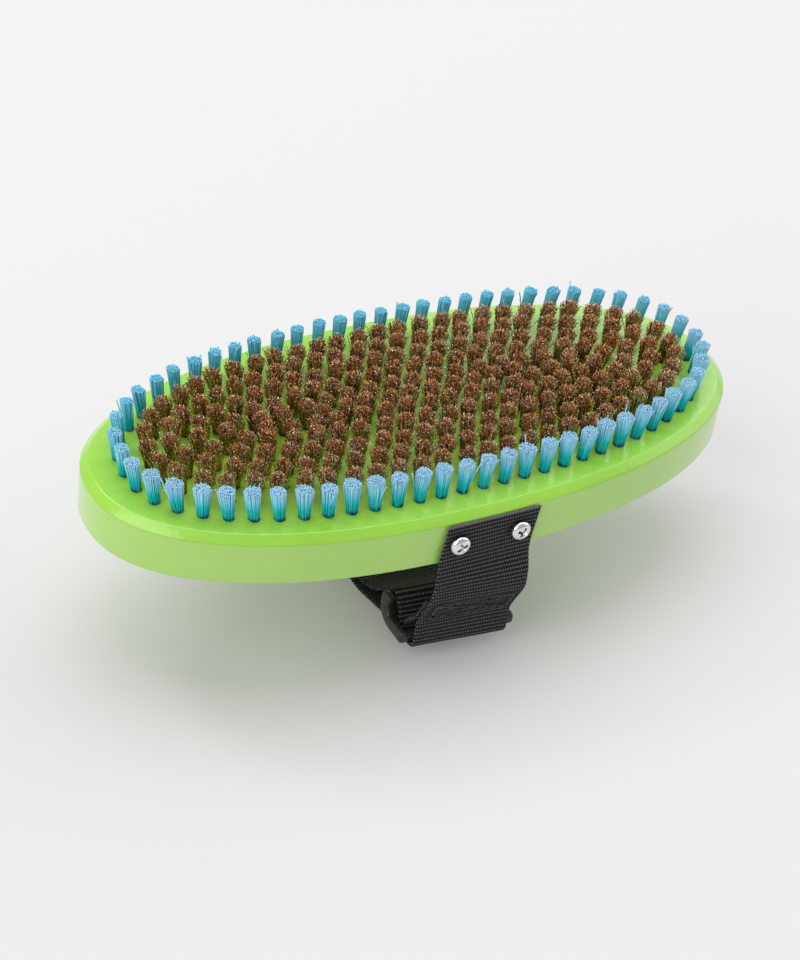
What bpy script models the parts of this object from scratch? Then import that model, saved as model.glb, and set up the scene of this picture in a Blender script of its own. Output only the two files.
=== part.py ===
"""Oval grooming brush: a lacquered wooden board with a field of bronze wire tufts inside a ring of
nylon tufts, and an adjustable webbing hand strap with a ladder-lock buckle under it.

The brush stands on its strap with the tufts up. +Z is up, X is the long axis, and the origin is on
the floor under the middle of the board. Lengths are metres.
"""

import math

import bmesh
import bpy
import numpy as np
from mathutils import Matrix, Vector

MM = 0.001
GAP = 0.3 * MM

# Board
BOARD_LENGTH = 220.0 * MM
BOARD_WIDTH = 101.6 * MM
BOARD_THICKNESS = 17.1 * MM
BOARD_UNDERSIDE = 45.2 * MM
BOARD_TOP = BOARD_UNDERSIDE + BOARD_THICKNESS
BOARD_POWER = 2.2
BOARD_STEPS = 96
OVAL_STEPS = 3840
CHAMFER_INSET = 2.6 * MM
CHAMFER_DEPTH = 2.3 * MM

# Bronze tufts: rings one inside the other, slimmer and more pointed inwards, round a straight row.
# Each ring is set on by a further share of the pitch, which staggers the tufts
BRONZE_RINGS = 5
BRONZE_ARCS = ("right", "far", "left", "near")
FIELD_HALF_LENGTH = 89.8 * MM
FIELD_HALF_WIDTH = 32.5 * MM
FIELD_POWER = 2.33
INSET_LENGTH = 7.0 * MM
INSET_GROWTH = 0.35 * MM
INSET_WIDTH = 6.6 * MM
POWER_DROP = 0.125
TUFT_PITCH = 7.4 * MM
BRONZE_SET_ON = -0.25
BRONZE_STAGGER = 0.548
MIDDLE_ROW_REACH = 34.5 * MM
BRONZE_HEIGHT = 10.6 * MM
BRONZE_ROOT_RADIUS = 1.6 * MM
BRONZE_TIP_RADIUS = 2.5 * MM
BRONZE_FAN = math.radians(8.5)

# Nylon tufts, one ring near the edge
RING_CENTRE_X = 0.3 * MM
RING_HALF_LENGTH = 98.4 * MM
RING_HALF_WIDTH = 39.8 * MM
RING_POWER = 2.38
RING_TUFTS = 62
RING_ARCS = 8
# The tufts are not quite evenly spaced: each is set on round the ring by a share of the pitch, a
# constant plus (sine, cosine) of one and of two turns round the ring
RING_START = 0.19
RING_DRIFT = ((-0.16, -0.02), (-0.11, -0.04))
NYLON_HEIGHT = 10.8 * MM
NYLON_ROOT_RADIUS = 1.7 * MM
NYLON_TIP_RADIUS = 2.4 * MM
NYLON_FAN = math.radians(9.0)

# The strip under the surface that joins the tufts of a row where their anchors sit
ROOT_WIDTH = 3.4 * MM
ROOT_DEPTH = 6.0 * MM
ROW_END = 2.4 * MM
ARC_END = 0.46
MITRE_LIMIT = 1.7
STEM_DEPTH = 1.0 * MM
TUFT_SIDES = 6

# Webbing strap
STRAP_X = -2.2 * MM
STRAP_WIDTH = 31.8 * MM
STRAP_THICKNESS = 1.4 * MM
STRAP_TOP = 59.9 * MM
WALL_Y = BOARD_WIDTH / 2 + GAP + STRAP_THICKNESS / 2
HINGE_Z = 43.9 * MM
HINGE_GAP = 0.5 * MM

# Points (y, z) that the webbing passes: the bow below each wall and the straight stretches
NEAR_BOW = (-52.9 * MM, 37.0 * MM)
LOOP_SLOPE = ((-52.3 * MM, 30.2 * MM), (-46.4 * MM, 17.2 * MM))
FOLD_HEEL_Z = 12.2 * MM
FOLD_SLOPE = ((-44.8 * MM, 17.9 * MM), (-49.8 * MM, 28.95 * MM))
FAR_BOW = (52.9 * MM, 37.0 * MM)
FAR_SLOPE = ((52.3 * MM, 27.0 * MM), (41.5 * MM, STRAP_THICKNESS / 2))
RUN_LIFT_Y = -9.0 * MM
RUN_END = (-31.0 * MM, 5.8 * MM)
TAIL_START = (-31.3 * MM, 5.85 * MM)
WRAP_FOOT_Z = 6.96 * MM
WRAP_HEAD_Z = 9.57 * MM
TAIL_CREST = (-32.64 * MM, 18.96 * MM)
TAIL_FOOT = (-15.0 * MM, 5.3 * MM)
TAIL_END = (15.0 * MM, 2.6 * MM)

# The lower strap hangs a little askew: below the twist and up to the near end of the run, everything
# is turned about the vertical, and the run and tail straighten out along their length
SKEW = math.tan(math.radians(5.5))
TWIST_TOP = 43.0 * MM
TWIST_FOOT = 31.0 * MM
SKEW_FULL_Y = -28.0 * MM
SKEW_NONE_Y = 30.0 * MM

# Box and cross of stitching, as shares of the straight stretch
STITCH_TOP = 0.22
STITCH_FOOT = 0.84
STITCH_BORDER = 3.0 * MM
THREAD_WIDTH = 0.8 * MM
THREAD_THICKNESS = 0.5 * MM

# Screws
SCREW_SPACING = 20.8 * MM
SCREW_Z = BOARD_TOP - 8.8 * MM
SCREW_HEAD_RADIUS = 3.3 * MM
SCREW_HEAD_HEIGHT = 2.2 * MM
SCREW_SHANK_RADIUS = 1.6 * MM
SCREW_LENGTH = 16.0 * MM
SCREW_POINT = 4.0 * MM
SCREW_SIDES = 20

# Ladder-lock buckle: bar centres and the rails' centre line, in the YZ plane
LOOP_BAR = (-42.8 * MM, 9.0 * MM)
WRAP_BAR = (-34.6 * MM, 9.0 * MM)
LIP_BAR = (-31.8 * MM, 15.4 * MM)
LOOP_BAR_RADIUS = 1.6 * MM
WRAP_BAR_RADIUS = 1.5 * MM
LIP_BAR_RADIUS = 1.3 * MM
LOOP_CLEARANCE = 1.1 * MM
RAIL_HEIGHT = 4.4 * MM
RAIL_THICKNESS = 2.6 * MM
RAIL_CLEARANCE = 0.8 * MM
RAIL_START = (-44.9 * MM, 9.1 * MM)
RAIL_HEEL = (-31.0 * MM, 8.7 * MM)
RAIL_TOP = (-32.3 * MM, 18.0 * MM)

# Pivot at the far lower corner of the strap
CORNER_HINGE = (44.6 * MM, 8.3 * MM)

GREEN = (0.32, 0.62, 0.07)
BRONZE = (0.32, 0.16, 0.06)
BLUE = (0.05, 0.42, 0.62)
BLACK = (0.02, 0.02, 0.022)
THREAD = (0.035, 0.035, 0.038)
STEEL = (0.75, 0.75, 0.76)


# ------------------------------------------------------------------ helpers

def clear_scene():
    for item in list(bpy.data.objects):
        bpy.data.objects.remove(item, do_unlink=True)


def material(name, colour, roughness, metallic=0.0):
    made = bpy.data.materials.new(name)
    made.use_nodes = True
    shader = made.node_tree.nodes["Principled BSDF"]
    shader.inputs["Base Color"].default_value = (*colour, 1.0)
    shader.inputs["Roughness"].default_value = roughness
    shader.inputs["Metallic"].default_value = metallic
    return made


def new_object(name, mesh, finish, smooth_angle=None):
    """An object named after its piece, with its material and, for round pieces, smooth shading."""
    made = bpy.data.objects.new(name, mesh)
    bpy.context.collection.objects.link(made)
    mesh.materials.append(finish)
    if smooth_angle is not None:
        mesh.shade_smooth()
        mesh.set_sharp_from_angle(angle=math.radians(smooth_angle))
    return made


def to_mesh(bm, name):
    bmesh.ops.recalc_face_normals(bm, faces=bm.faces)
    mesh = bpy.data.meshes.new(name)
    bm.to_mesh(mesh)
    bm.free()
    return mesh


def prism(outline, low, high):
    """A closed bmesh between two loops of points with the same count, capped at both ends."""
    bm = bmesh.new()
    bottom = [bm.verts.new(low(p)) for p in outline]
    top = [bm.verts.new(high(p)) for p in outline]
    bm.faces.new(bottom[::-1])
    bm.faces.new(top)
    for i in range(len(outline)):
        j = (i + 1) % len(outline)
        bm.faces.new((bottom[i], bottom[j], top[j], top[i]))
    return bm


def cutter(name, mesh):
    made = bpy.data.objects.new(name, mesh)
    bpy.context.collection.objects.link(made)
    made.hide_render = True
    made.display_type = "WIRE"
    return made


def boolean(target, tool, operation):
    modifier = target.modifiers.new(operation.lower(), "BOOLEAN")
    modifier.operation = operation
    modifier.object = tool


def oval_line(half_length, half_width, power):
    """A fine superellipse, anticlockwise from its -Y side: x, y and the distance run along it."""
    angle = np.linspace(-math.pi / 2, 1.5 * math.pi, OVAL_STEPS + 1)
    reach = np.abs(np.cos(angle) / half_length) ** power + np.abs(np.sin(angle) / half_width) ** power
    reach = reach ** (-1.0 / power)
    x, y = reach * np.cos(angle), reach * np.sin(angle)
    run = np.concatenate([[0.0], np.cumsum(np.hypot(np.diff(x), np.diff(y)))])
    return x, y, run


def oval(half_length, half_width, power, count, centre_x=0.0, set_on=0.0):
    """Points along a superellipse, anticlockwise from its -Y side, evenly spaced or set on by a share
    of the spacing."""
    x, y, run = oval_line(half_length, half_width, power)
    stops = (np.arange(count) + set_on) * run[-1] / count % run[-1]
    return [(centre_x + px, py) for px, py in zip(np.interp(stops, run, x), np.interp(stops, run, y))]


def fillet(corners, steps=5):
    """A path through corners (u, v, radius) with each corner rounded by an arc."""
    points = [Vector(corners[0][:2])]
    for before, corner, after in zip(corners, corners[1:], corners[2:]):
        here = Vector(corner[:2])
        back = (Vector(before[:2]) - here).normalized()
        ahead = (Vector(after[:2]) - here).normalized()
        half = back.angle(ahead) / 2
        reach = corner[2] / math.tan(half)
        centre = here + (back + ahead).normalized() * corner[2] / math.sin(half)
        first = here + back * reach - centre
        turn = first.angle_signed(here + ahead * reach - centre)
        for i in range(steps + 1):
            points.append(centre + Matrix.Rotation(-turn * i / steps, 2) @ first)
    points.append(Vector(corners[-1][:2]))
    return points


def ribbon_mesh(name, path, width, thickness, centre_x):
    """A band of constant thickness that follows a path in the YZ plane, spread along X."""
    sides = []
    for i, point in enumerate(path):
        along = (path[min(i + 1, len(path) - 1)] - path[max(i - 1, 0)]).normalized()
        normal = Vector((-along.y, along.x))
        sides.append((point + normal * thickness / 2, point - normal * thickness / 2))
    bm = bmesh.new()
    rings = []
    for upper, lower in sides:
        ring = []
        for x, side in ((-1, upper), (1, upper), (1, lower), (-1, lower)):
            ring.append(bm.verts.new((centre_x + x * width / 2, side.x, side.y)))
        rings.append(ring)
    bm.faces.new(rings[0])
    bm.faces.new(rings[-1][::-1])
    for near, far in zip(rings, rings[1:]):
        for k in range(4):
            m = (k + 1) % 4
            bm.faces.new((near[k], near[m], far[m], far[k]))
    return to_mesh(bm, name)


def rod_mesh(name, radius, length, sides=12):
    """A cylinder along X, centred on the origin."""
    bm = bmesh.new()
    turn = Matrix.Rotation(math.pi / 2, 4, "Y")
    bmesh.ops.create_cone(
        bm, cap_ends=True, segments=sides, radius1=radius, radius2=radius, depth=length, matrix=turn
    )
    return to_mesh(bm, name)


def hang_askew(mesh, share):
    """Turns a piece of the lower strap about the vertical, by a share worked out from each point."""
    for vertex in mesh.vertices:
        vertex.co.y -= (vertex.co.x - STRAP_X) * SKEW * share(vertex.co)


def clamp(value):
    return min(1.0, max(0.0, value))


def twist_share(point):
    """None at the wall and full from the foot of the near webbing's twist down."""
    return clamp((TWIST_TOP - point.z) / (TWIST_TOP - TWIST_FOOT))


def run_share(point):
    """Full at the buckle, easing to none along the run."""
    return clamp((SKEW_NONE_Y - point.y) / (SKEW_NONE_Y - SKEW_FULL_Y))


def full_share(point):
    return 1.0


# ------------------------------------------------------------------ board

def root_band(line, width, low, high, closed=False):
    """A wall of given width along a line of (x, y) points, from height low to height high, with its
    corners mitred."""
    count = len(line)
    bm = bmesh.new()
    rings = []
    for i, (x, y) in enumerate(line):
        spot = Vector((x, y))
        back = spot - Vector(line[(i - 1) % count])
        ahead = Vector(line[(i + 1) % count]) - spot
        if not closed and i == 0:
            back = ahead
        if not closed and i == count - 1:
            ahead = back
        along = (back.normalized() + ahead.normalized()).normalized()
        mitre = min(MITRE_LIMIT, 1 / max(0.01, along.dot(back.normalized())))
        side = Vector((-along.y, along.x)) * mitre * width / 2
        corners = ((1, low), (-1, low), (-1, high), (1, high))
        rings.append([bm.verts.new((x + s * side.x, y + s * side.y, z)) for s, z in corners])
    pairs = list(zip(rings, rings[1:]))
    if closed:
        pairs.append((rings[-1], rings[0]))
    else:
        bm.faces.new(rings[0])
        bm.faces.new(rings[-1][::-1])
    for near, far in pairs:
        for k in range(4):
            m = (k + 1) % 4
            bm.faces.new((near[k], near[m], far[m], far[k]))
    return bm


def make_board(finish, rings, row):
    """The oval board with a chamfered upper edge, slots for the tuft roots and screw holes."""
    outline = oval(BOARD_LENGTH / 2, BOARD_WIDTH / 2, BOARD_POWER, BOARD_STEPS)
    inset = oval(
        BOARD_LENGTH / 2 - CHAMFER_INSET, BOARD_WIDTH / 2 - CHAMFER_INSET, BOARD_POWER, BOARD_STEPS
    )
    bm = bmesh.new()
    levels = (
        (outline, BOARD_UNDERSIDE),
        (outline, BOARD_TOP - CHAMFER_DEPTH),
        (inset, BOARD_TOP),
    )
    loops = [[bm.verts.new((x, y, z)) for x, y in points] for points, z in levels]
    bm.faces.new(loops[0][::-1])
    bm.faces.new(loops[-1])
    for lower, upper in zip(loops, loops[1:]):
        for i in range(BOARD_STEPS):
            j = (i + 1) % BOARD_STEPS
            bm.faces.new((lower[i], lower[j], upper[j], upper[i]))
    board = new_object("brush_board", to_mesh(bm, "brush_board"), finish)

    slot_floor = BOARD_TOP - ROOT_DEPTH - GAP
    slot_width = ROOT_WIDTH + 2 * GAP
    above = BOARD_TOP + 2 * MM
    slots = bmesh.new()
    bands = [root_band(ring, slot_width, slot_floor, above, closed=True) for ring in rings]
    bands.append(root_band(row_line(row, ROW_END + GAP), slot_width, slot_floor, above))
    for band in bands:
        part = to_mesh(band, "slot")
        slots.from_mesh(part)
        bpy.data.meshes.remove(part)
    boolean(board, cutter("slot_cutter", to_mesh(slots, "slot_cutter")), "DIFFERENCE")

    holes = bmesh.new()
    for side in (-1, 1):
        for x in screw_places():
            bmesh.ops.create_cone(
                holes,
                cap_ends=True,
                segments=SCREW_SIDES // 2,
                radius1=SCREW_SHANK_RADIUS + GAP,
                radius2=SCREW_SHANK_RADIUS + GAP,
                depth=2 * SCREW_LENGTH,
                matrix=Matrix.Translation((x, side * BOARD_WIDTH / 2, SCREW_Z))
                @ Matrix.Rotation(math.pi / 2, 4, "X"),
            )
    boolean(board, cutter("screw_hole_cutter", to_mesh(holes, "screw_hole_cutter")), "DIFFERENCE")
    return board


# ------------------------------------------------------------------ tufts

def bronze_rings():
    """Root positions of the bronze tufts in each ring, the outermost first."""
    rings = []
    for k in range(BRONZE_RINGS):
        size = (
            FIELD_HALF_LENGTH - INSET_LENGTH * k - INSET_GROWTH * k * k,
            FIELD_HALF_WIDTH - INSET_WIDTH * k,
            FIELD_POWER - POWER_DROP * k,
        )
        count = 2 * round(oval_line(*size)[2][-1] / TUFT_PITCH / 2)
        rings.append(oval(*size, count, RING_CENTRE_X, BRONZE_SET_ON + BRONZE_STAGGER * k))
    return rings


def middle_row():
    """Root positions of the bronze tufts in the straight row inside the rings."""
    set_on = (BRONZE_SET_ON + BRONZE_STAGGER * BRONZE_RINGS) % 1.0
    half = int(MIDDLE_ROW_REACH / TUFT_PITCH) + 1
    places = [RING_CENTRE_X + (i + set_on) * TUFT_PITCH for i in range(-half, half + 1)]
    return [(x, 0.0) for x in places if abs(x) <= MIDDLE_ROW_REACH]


def row_line(row, reach):
    return [(row[0][0] - reach, row[0][1]), (row[-1][0] + reach, row[-1][1])]


def ring_arcs(ring, arcs, offset=0.0):
    """A ring in arcs: each arc's tufts, and its line, which reaches nearly half-way to its neighbours."""
    count = len(ring)
    edges = [round(count * (k + offset) / arcs) for k in range(arcs + 1)]
    pieces = []
    for first, last in zip(edges, edges[1:]):
        places = [Vector(ring[i % count]) for i in range(first - 1, last + 1)]
        tufts = places[1:-1]
        line = [tufts[0].lerp(places[0], ARC_END)] + tufts + [tufts[-1].lerp(places[-1], ARC_END)]
        pieces.append((tufts, [tuple(place) for place in line]))
    return pieces


def tuft_bmesh(x, y, height, root_radius, tip_radius, lean):
    """One tuft, wider at its tip, from just under the surface up, leaning along X by a slope."""
    start = BOARD_TOP - STEM_DEPTH

    def low(p):
        return (x + root_radius * p[0] - lean * STEM_DEPTH, y + root_radius * p[1], start)

    def high(p):
        return (x + tip_radius * p[0] + lean * height, y + tip_radius * p[1], BOARD_TOP + height)

    angles = [2 * math.pi * k / TUFT_SIDES for k in range(TUFT_SIDES)]
    return prism([(math.cos(a), math.sin(a)) for a in angles], low, high)


def tuft_row(name, line, places, form, centre_x, finish):
    """Tufts joined by the strip under the surface that stands for their anchors. The form is their
    height, root radius, tip radius, lean at the end of the field and the field's half length."""
    height, root_radius, tip_radius, fan, half_length = form
    band = root_band(line, ROOT_WIDTH, BOARD_TOP - ROOT_DEPTH, BOARD_TOP - GAP)
    row = new_object(name, to_mesh(band, name), finish)
    stems = bmesh.new()
    for x, y in places:
        lean = math.tan(fan * (x - centre_x) / half_length)
        part = to_mesh(tuft_bmesh(x, y, height, root_radius, tip_radius, lean), "stem")
        stems.from_mesh(part)
        bpy.data.meshes.remove(part)
    boolean(row, cutter(name + "_stems", to_mesh(stems, name + "_stems")), "UNION")


def make_bronze(rings, row, finish):
    form = (BRONZE_HEIGHT, BRONZE_ROOT_RADIUS, BRONZE_TIP_RADIUS, BRONZE_FAN, FIELD_HALF_LENGTH)
    for number, ring in enumerate(rings, 1):
        arcs = ring_arcs(ring, len(BRONZE_ARCS), 0.5)
        for side, (tufts, line) in zip(BRONZE_ARCS, arcs):
            tuft_row(f"bronze_ring_{number}_{side}", line, tufts, form, RING_CENTRE_X, finish)
    tuft_row("bronze_middle_row", row_line(row, ROW_END), row, form, RING_CENTRE_X, finish)


def nylon_ring():
    """Root positions of the nylon tufts, anticlockwise from the -Y side."""
    turn = 2 * math.pi * np.arange(RING_TUFTS) / RING_TUFTS
    set_on = RING_START
    for times, (sine, cosine) in enumerate(RING_DRIFT, 1):
        set_on = set_on + sine * np.sin(times * turn) + cosine * np.cos(times * turn)
    return oval(RING_HALF_LENGTH, RING_HALF_WIDTH, RING_POWER, RING_TUFTS, RING_CENTRE_X, set_on)


def make_nylon(ring, finish):
    """The ring of nylon tufts, in arcs that meet with a small gap."""
    form = (NYLON_HEIGHT, NYLON_ROOT_RADIUS, NYLON_TIP_RADIUS, NYLON_FAN, RING_HALF_LENGTH)
    for number, (tufts, line) in enumerate(ring_arcs(ring, RING_ARCS), 1):
        tuft_row(f"nylon_arc_{number:02d}", line, tufts, form, RING_CENTRE_X, finish)


# ------------------------------------------------------------------ strap

def screw_places():
    return (STRAP_X - SCREW_SPACING / 2, STRAP_X + SCREW_SPACING / 2)


def strap_piece(name, corners, finish, share=None):
    mesh = ribbon_mesh(name, fillet(corners), STRAP_WIDTH, STRAP_THICKNESS, STRAP_X)
    if share:
        hang_askew(mesh, share)
    return new_object(name, mesh, finish, 40)


def make_anchor(name, side, finish):
    """The end of the webbing that lies on the board's wall, with two screw holes."""
    corners = [(side * WALL_Y, STRAP_TOP), (side * WALL_Y, HINGE_Z + HINGE_GAP / 2)]
    anchor = strap_piece(name, corners, finish)
    holes = bmesh.new()
    for x in screw_places():
        bmesh.ops.create_cone(
            holes,
            cap_ends=True,
            segments=SCREW_SIDES // 2,
            radius1=SCREW_SHANK_RADIUS + GAP,
            radius2=SCREW_SHANK_RADIUS + GAP,
            depth=6 * MM,
            matrix=Matrix.Translation((x, side * WALL_Y, SCREW_Z)) @ Matrix.Rotation(math.pi / 2, 4, "X"),
        )
    boolean(anchor, cutter(name + "_holes", to_mesh(holes, name + "_holes")), "DIFFERENCE")


def make_near_drop(finish):
    """The near webbing: down from the board, round the buckle's first bar and back up, doubled."""
    bar_y, bar_z = LOOP_BAR
    turn = LOOP_BAR_RADIUS + LOOP_CLEARANCE + STRAP_THICKNESS / 2
    corners = [
        (-WALL_Y, HINGE_Z - HINGE_GAP / 2),
        (*NEAR_BOW, 14 * MM),
        (*LOOP_SLOPE[0], 10 * MM),
        (*LOOP_SLOPE[1], 8 * MM),
        (bar_y - turn, bar_z - turn, turn),
        (bar_y + turn, bar_z - turn, turn),
        (bar_y + turn, FOLD_HEEL_Z, 3 * MM),
        (*FOLD_SLOPE[0], 3 * MM),
        FOLD_SLOPE[1],
    ]
    strap_piece("near_strap_loop", corners, finish, twist_share)


def shrink(triangle, border):
    """A triangle with each side moved inwards by the border's width."""
    sides = [(triangle[(k + 1) % 3] - triangle[(k + 2) % 3]).length for k in range(3)]
    around = sum(sides)
    middle = sum((corner * side for corner, side in zip(triangle, sides)), Vector((0, 0))) / around
    one, two = triangle[1] - triangle[0], triangle[2] - triangle[0]
    radius = abs(one.x * two.y - one.y * two.x) / around
    return [middle + (corner - middle) * (radius - border) / radius for corner in triangle]


def make_stitching(finish):
    """The box and cross of thread that closes the loop, proud of the outer layer."""
    top = Vector(LOOP_SLOPE[0]).lerp(Vector(LOOP_SLOPE[1]), STITCH_TOP)
    foot = Vector(LOOP_SLOPE[0]).lerp(Vector(LOOP_SLOPE[1]), STITCH_FOOT)
    down = (foot - top).normalized()
    out = Vector((down.y, -down.x))
    lift = STRAP_THICKNESS / 2 + GAP
    half_width = STRAP_WIDTH / 2 - STITCH_BORDER
    height = (foot - top).length

    def at(p, rise):
        spot = top + down * p[1] + out * rise
        return (STRAP_X + p[0], spot.x, spot.y)

    corners = [Vector((-half_width, 0)), Vector((half_width, 0))]
    corners += [Vector((half_width, height)), Vector((-half_width, height))]
    plate = prism(corners, lambda p: at(p, lift), lambda p: at(p, lift + THREAD_THICKNESS))
    mesh = to_mesh(plate, "strap_stitching")
    hang_askew(mesh, full_share)
    stitching = new_object("strap_stitching", mesh, finish)
    windows = bmesh.new()
    for k in range(4):
        window = shrink([corners[k], corners[(k + 1) % 4], Vector((0, height / 2))], THREAD_WIDTH)
        hole = prism(window, lambda p: at(p, 0), lambda p: at(p, 2 * MM))
        part = to_mesh(hole, "window")
        windows.from_mesh(part)
        bpy.data.meshes.remove(part)
    tool = to_mesh(windows, "stitch_windows")
    hang_askew(tool, full_share)
    boolean(stitching, cutter("stitch_windows", tool), "DIFFERENCE")


def slope_direction():
    """The way down the far webbing's straight stretch."""
    return (Vector(FAR_SLOPE[1]) - Vector(FAR_SLOPE[0])).normalized()


def make_far_drop(finish):
    end = Vector(CORNER_HINGE) - slope_direction() * HINGE_GAP / 2
    corners = [
        (WALL_Y, HINGE_Z - HINGE_GAP / 2),
        (*FAR_BOW, 14 * MM),
        (*FAR_SLOPE[0], 14 * MM),
        (end.x, end.y),
    ]
    strap_piece("far_strap_drop", corners, finish)


def make_run(finish):
    """The adjustable webbing along the bottom, from the far corner to just under the wrap bar."""
    start = Vector(CORNER_HINGE) + slope_direction() * HINGE_GAP / 2
    corners = [
        (start.x, start.y),
        (*FAR_SLOPE[1], 9 * MM),
        (RUN_LIFT_Y, STRAP_THICKNESS / 2, 25 * MM),
        RUN_END,
    ]
    strap_piece("strap_run", corners, finish, run_share)


def make_tail(finish):
    """The same webbing round the wrap bar, over the buckle's lip and back along the run."""
    bar_y = WRAP_BAR[0]
    turn = WRAP_BAR_RADIUS + GAP + STRAP_THICKNESS / 2
    corners = [
        TAIL_START,
        (bar_y - turn, WRAP_FOOT_Z, turn),
        (bar_y - turn, WRAP_HEAD_Z, turn),
        (*TAIL_CREST, 2.3 * MM),
        (*TAIL_FOOT, 25 * MM),
        TAIL_END,
    ]
    strap_piece("strap_tail", corners, finish, run_share)


# ------------------------------------------------------------------ buckle and screws

def make_buckle(finish):
    """Two curved rails joined by three bars."""
    rail_x = STRAP_WIDTH / 2 + RAIL_CLEARANCE + RAIL_THICKNESS / 2
    path = fillet([RAIL_START, (*RAIL_HEEL, 4.5 * MM), RAIL_TOP], 6)
    rails = []
    for x in (STRAP_X - rail_x, STRAP_X + rail_x):
        rails.append(ribbon_mesh("rail", path, RAIL_THICKNESS, RAIL_HEIGHT, x))
        hang_askew(rails[-1], full_share)
    buckle = new_object("ladder_lock_buckle", rails[0], finish, 40)
    boolean(buckle, cutter("rail", rails[1]), "UNION")
    bars = (
        ("loop_bar", LOOP_BAR, LOOP_BAR_RADIUS),
        ("wrap_bar", WRAP_BAR, WRAP_BAR_RADIUS),
        ("lip_bar", LIP_BAR, LIP_BAR_RADIUS),
    )
    for name, (y, z), radius in bars:
        mesh = rod_mesh(name, radius, 2 * rail_x)
        mesh.transform(Matrix.Translation((STRAP_X, y, z)))
        hang_askew(mesh, full_share)
        boolean(buckle, cutter(name, mesh), "UNION")


def screw_mesh():
    """A pan-head wood screw on the Z axis: the head's top is up and its seat is at z = 0."""
    bm = bmesh.new()
    profile = [
        (0.0, SCREW_HEAD_HEIGHT),
        (1.6 * MM, SCREW_HEAD_HEIGHT * 0.96),
        (2.6 * MM, SCREW_HEAD_HEIGHT * 0.75),
        (SCREW_HEAD_RADIUS, SCREW_HEAD_HEIGHT * 0.3),
        (SCREW_HEAD_RADIUS, 0.0),
        (SCREW_SHANK_RADIUS, 0.0),
        (SCREW_SHANK_RADIUS, -SCREW_LENGTH + SCREW_POINT),
        (0.0, -SCREW_LENGTH),
    ]
    rings = []
    for radius, z in profile:
        if radius == 0.0:
            rings.append([bm.verts.new((0, 0, z))])
            continue
        ring = []
        for k in range(SCREW_SIDES):
            a = 2 * math.pi * k / SCREW_SIDES
            ring.append(bm.verts.new((radius * math.cos(a), radius * math.sin(a), z)))
        rings.append(ring)
    for upper, lower in zip(rings, rings[1:]):
        for k in range(SCREW_SIDES):
            m = (k + 1) % SCREW_SIDES
            face = [upper[k % len(upper)], lower[k % len(lower)]]
            face += [lower[m % len(lower)], upper[m % len(upper)]]
            bm.faces.new(list(dict.fromkeys(face)))
    return to_mesh(bm, "screw")


def recess_mesh():
    """The cross recess in a screw's head, narrowing as it goes down."""
    outline = []
    for k in range(4):
        spin = Matrix.Rotation(math.pi / 2 * k, 2)
        for corner in ((1, -1), (1, 1)):
            outline.append((spin, corner))

    def cross(length, width, z):
        points = []
        for spin, (x, y) in outline:
            spot = spin @ Vector((x * length, y * width))
            points.append((spot.x, spot.y, z))
            if y > 0:
                notch = spin @ Vector((width, width))
                points.append((notch.x, notch.y, z))
        return points

    low = cross(0.9 * MM, 0.28 * MM, 0.5 * MM)
    high = cross(1.9 * MM, 0.42 * MM, SCREW_HEAD_HEIGHT + 0.5 * MM)
    bm = prism(range(len(low)), lambda k: low[k], lambda k: high[k])
    return to_mesh(bm, "recess")


def make_screws(finish):
    head_y = BOARD_WIDTH / 2 + 2 * GAP + STRAP_THICKNESS
    recess = recess_mesh()
    for side, side_name in ((-1, "near"), (1, "far")):
        for x, end_name in zip(screw_places(), ("left", "right")):
            name = f"screw_{side_name}_{end_name}"
            screw = new_object(name, screw_mesh(), finish, 35)
            place = Matrix.Translation((x, side * head_y, SCREW_Z))
            screw.matrix_world = place @ Matrix.Rotation(-side * math.pi / 2, 4, "X")
            tool = cutter(name + "_recess", recess.copy())
            tool.matrix_world = screw.matrix_world
            boolean(screw, tool, "DIFFERENCE")


def main():
    clear_scene()
    lacquer = material("green_lacquer", GREEN, 0.35)
    wire = material("bronze_wire", BRONZE, 0.35, 1.0)
    nylon = material("blue_nylon", BLUE, 0.45)
    webbing = material("black_webbing", BLACK, 0.85)
    thread = material("black_thread", THREAD, 0.7)
    moulding = material("black_plastic", BLACK, 0.4)
    chrome = material("chrome", STEEL, 0.15, 1.0)

    rings = bronze_rings()
    row = middle_row()
    ring = nylon_ring()
    make_board(lacquer, rings + [ring], row)
    make_bronze(rings, row, wire)
    make_nylon(ring, nylon)
    make_anchor("near_strap_anchor", -1, webbing)
    make_anchor("far_strap_anchor", 1, webbing)
    make_near_drop(webbing)
    make_stitching(thread)
    make_far_drop(webbing)
    make_run(webbing)
    make_tail(webbing)
    make_buckle(moulding)
    make_screws(chrome)


main()
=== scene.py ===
"""Looks of an oval grooming brush: lacquered board, crimped bronze and nylon tufts, webbing hand strap.

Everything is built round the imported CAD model, in metres. The brush stands on its strap with the tufts
up, X is its long axis and the strap lies in the YZ plane.
"""

import math

import bpy
import numpy as np
from mathutils import Matrix, Quaternion, Vector


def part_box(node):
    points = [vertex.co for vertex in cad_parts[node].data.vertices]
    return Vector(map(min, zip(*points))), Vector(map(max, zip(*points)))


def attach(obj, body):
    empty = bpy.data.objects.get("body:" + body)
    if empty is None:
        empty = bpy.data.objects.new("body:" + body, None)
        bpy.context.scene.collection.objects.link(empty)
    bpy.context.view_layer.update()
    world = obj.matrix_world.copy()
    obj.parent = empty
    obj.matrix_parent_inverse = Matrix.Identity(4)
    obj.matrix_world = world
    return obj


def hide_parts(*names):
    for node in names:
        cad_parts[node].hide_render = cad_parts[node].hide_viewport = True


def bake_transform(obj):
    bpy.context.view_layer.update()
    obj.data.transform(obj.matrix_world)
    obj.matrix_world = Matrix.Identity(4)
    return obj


MM = 0.001

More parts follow.
